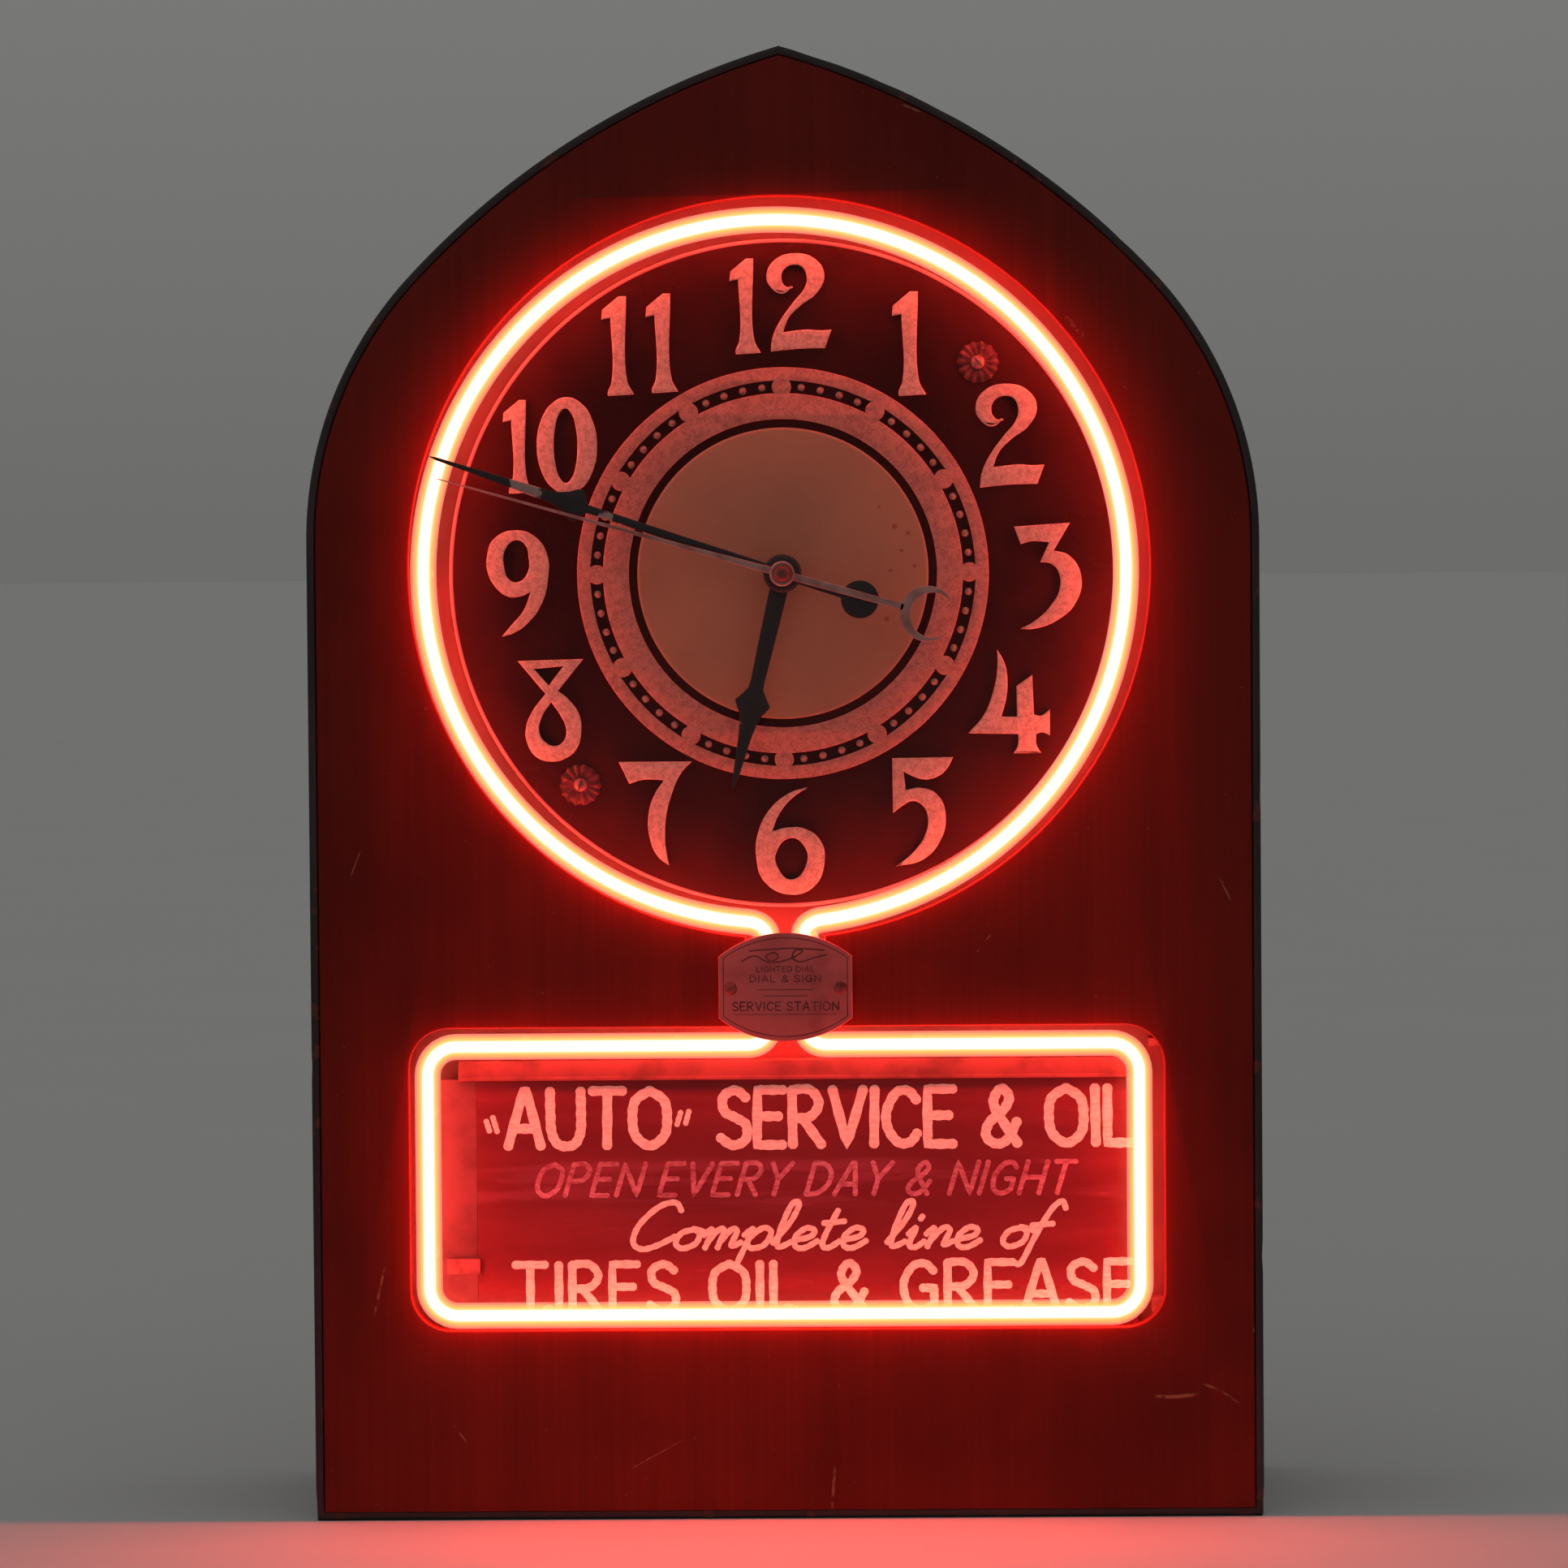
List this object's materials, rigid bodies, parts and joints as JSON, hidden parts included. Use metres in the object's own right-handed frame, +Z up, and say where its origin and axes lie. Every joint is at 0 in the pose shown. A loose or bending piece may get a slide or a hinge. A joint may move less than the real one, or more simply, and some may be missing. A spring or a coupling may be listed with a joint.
{
  "type": "service station advertising clock",
  "caption": "Gothic-arch wooden advertising wall clock with neon ring round the dial, neon-framed sign window and synchronous motor movement.",
  "frame": {"origin": "centre of the flat base, under the middle of the case's depth", "axes": "+Z up, +X to the right as seen from the front, the dial faces -Y"},
  "size_m": [0.432, 0.1775, 0.6688],
  "materials": {
    "painted_wood": "satin varnished mahogany stain, scratched",
    "dark_bead": "near-black worn lacquer",
    "raw_wood": "unfinished pine",
    "fibre_board": "tempered hardboard",
    "panel_paint": "satin red enamel",
    "dial_paint": "matt maroon-black enamel",
    "cream_relief": "aged stippled cream",
    "sign_paint": "brushed red sign enamel",
    "badge_metal": "etched and dulled",
    "steel": "aged zinc plate",
    "brass": "satin",
    "hand_black": "worn black enamel",
    "hand_silver": "dull",
    "neon_glass": "clear glass, lit red-orange inside",
    "porcelain": "glazed",
    "can_black": "semi-gloss black",
    "lead_red": "ignition cable",
    "wire_insulation": "cloth covered",
    "black_rubber": "matt",
    "phenolic": "moulded",
    "lamination": "blued silicon steel",
    "coil_wrap": "varnished tape",
    "copper": "lacquered copper"
  },
  "bodies": {
    "case": {"front_board": "painted_wood", "edge_bead": "dark_bead", "case_shell": "painted_wood", "base_board": "fibre_board", "front_battens": "raw_wood", "arch_blocks": "raw_wood", "back_frame": "raw_wood", "back_cover": "fibre_board", "back_screws": "steel", "inner_panel": "panel_paint", "panel_screws": "steel", "dial_plate": "dial_paint", "dial_numerals": "cream_relief", "dial_rosettes": "cream_relief", "dial_screws": "steel", "dial_standoffs": "brass", "neon_tube": "neon_glass", "tube_electrodes": "steel", "electrode_sleeves": "porcelain", "tube_supports": "porcelain", "badge": "badge_metal", "badge_spacers": "brass", "badge_screws": "badge_metal", "sign_panel": "sign_paint", "sign_rails": "sign_paint", "sign_side_strip": "sign_paint", "sign_clips": "steel", "transformer_can": "can_black", "transformer_bushings": "porcelain", "transformer_screws": "steel", "high_voltage_leads": "lead_red", "terminal_block": "phenolic", "primary_leads": "wire_insulation", "motor_leads": "wire_insulation", "inlet_grommet": "black_rubber", "movement_front_plate": "brass", "movement_back_plate": "brass", "movement_pillars": "brass", "motor_core": "lamination", "motor_coil": "coil_wrap", "rotor_can": "copper", "motion_stud": "steel"},
    "hour_body": {"hour_hand": "hand_black", "hour_wheel": "brass"},
    "minute_body": {"minute_hand": "hand_black", "minute_arbor": "steel", "centre_wheel": "brass"},
    "second_body": {"second_hand": "hand_silver", "seconds_arbor": "steel", "seconds_wheel": "brass", "hub_cap": "hand_silver"},
    "intermediate_body": {"intermediate_wheel": "brass"},
    "motion_body": {"motion_wheel": "brass"},
    "set_body": {"set_shaft": "steel", "set_knob": "black_rubber"},
    "rotor_body": {"rotor_pinion": "steel"}
  },
  "joints": [
    {"name": "minute_hand_turn", "type": "hinge", "parent": "case", "child": "minute_body", "pos_m": [0, 0, 0.4304], "axis": [0, 1, 0], "continuous": true},
    {"name": "hour_hand_turn", "type": "hinge", "parent": "case", "child": "hour_body", "pos_m": [0, 0, 0.4304], "axis": [0, 1, 0], "continuous": true},
    {"name": "second_hand_turn", "type": "hinge", "parent": "case", "child": "second_body", "pos_m": [0, 0, 0.4304], "axis": [0, 1, 0], "continuous": true},
    {"name": "intermediate_turn", "type": "hinge", "parent": "case", "child": "intermediate_body", "pos_m": [0.0231, 0, 0.4304], "axis": [0, 1, 0], "continuous": true},
    {"name": "motion_work_turn", "type": "hinge", "parent": "case", "child": "motion_body", "pos_m": [0, 0, 0.4484], "axis": [0, 1, 0], "continuous": true},
    {"name": "set_knob_turn", "type": "hinge", "parent": "case", "child": "set_body", "pos_m": [0, 0, 0.4664], "axis": [0, 1, 0], "continuous": true},
    {"name": "rotor_turn", "type": "hinge", "parent": "case", "child": "rotor_body", "pos_m": [-0.0207, 0, 0.4304], "axis": [0, 1, 0], "continuous": true}
  ],
  "couplings": [
    {"joint": "hour_hand_turn", "follows": "minute_hand_turn", "ratio": 0.083333},
    {"joint": "second_hand_turn", "follows": "minute_hand_turn", "ratio": 60},
    {"joint": "intermediate_turn", "follows": "minute_hand_turn", "ratio": -10},
    {"joint": "motion_work_turn", "follows": "minute_hand_turn", "ratio": -0.33333},
    {"joint": "set_knob_turn", "follows": "minute_hand_turn", "ratio": 1},
    {"joint": "rotor_turn", "follows": "minute_hand_turn", "ratio": -216}
  ]
}
